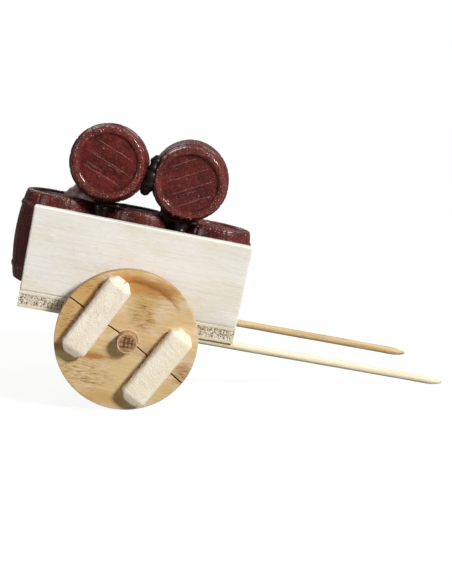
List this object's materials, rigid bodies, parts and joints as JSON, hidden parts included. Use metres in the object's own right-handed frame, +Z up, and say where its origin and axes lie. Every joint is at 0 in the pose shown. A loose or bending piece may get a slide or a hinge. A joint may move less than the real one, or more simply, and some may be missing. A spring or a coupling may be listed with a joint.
{
  "type": "two-wheeled handcart",
  "caption": "Small wooden handcart with open ends, solid disc wheels braced by battens, long round shafts and a load of varnished kegs.",
  "frame": {"origin": "on the ground under the middle of the whole cart as it rests on its wheels and the tips of its shafts", "axes": "+X forward to the shaft tips, +Y to the far side board, +Z up; the bed leans 12.57 degrees nose down"},
  "size_m": [0.1114, 0.0518, 0.0689],
  "materials": {
    "ply_face": "sanded birch face ply, fine grain along its length",
    "ply_core": "open end grain, speckled brown, matt",
    "side_board": "pale bare wood, fine lengthwise grain, matt",
    "dowel": "bare dowel, brown end grain, matt",
    "dried_glue": "dried clear wood glue",
    "pale_stick": "pale birch stick, fine grain",
    "tan_stick": "tan bamboo-like stick, fine grain",
    "disc_wood": "golden pine with brown streaks, matt",
    "batten_wood": "cream bare wood, frayed edges, matt",
    "keg_finish": "oxblood casting under thick glossy varnish",
    "dark_varnish": "near-black pooled varnish, glossy"
  },
  "bodies": {
    "cart": {"floor_top_ply": "ply_face", "floor_core_ply": "ply_core", "floor_bottom_ply": "ply_face", "side_board_near": "side_board", "side_board_far": "side_board", "axle": "dowel", "axle_glue": "dried_glue", "shaft_near": "pale_stick", "shaft_far": "tan_stick", "shaft_glue": "dried_glue", "keg_rear": "keg_finish", "keg_middle": "keg_finish", "keg_front": "keg_finish", "keg_top_rear": "keg_finish", "keg_top_front": "keg_finish", "glue_drop": "dark_varnish", "glue_smear": "dark_varnish", "glue_lump": "dark_varnish"},
    "near_wheel": {"wheel_near": "disc_wood", "wheel_near_batten_rear": "batten_wood", "wheel_near_batten_front": "batten_wood"},
    "far_wheel": {"wheel_far": "disc_wood", "wheel_far_batten_rear": "batten_wood", "wheel_far_batten_front": "batten_wood"}
  },
  "joints": [
    {"name": "near_wheel_spin", "type": "hinge", "parent": "cart", "child": "near_wheel", "pos_m": [-0.02712, -0.021, 0.0173], "axis": [0, 1, 0], "continuous": true},
    {"name": "far_wheel_spin", "type": "hinge", "parent": "cart", "child": "far_wheel", "pos_m": [-0.02712, 0.021, 0.0173], "axis": [0, 1, 0], "continuous": true}
  ]
}
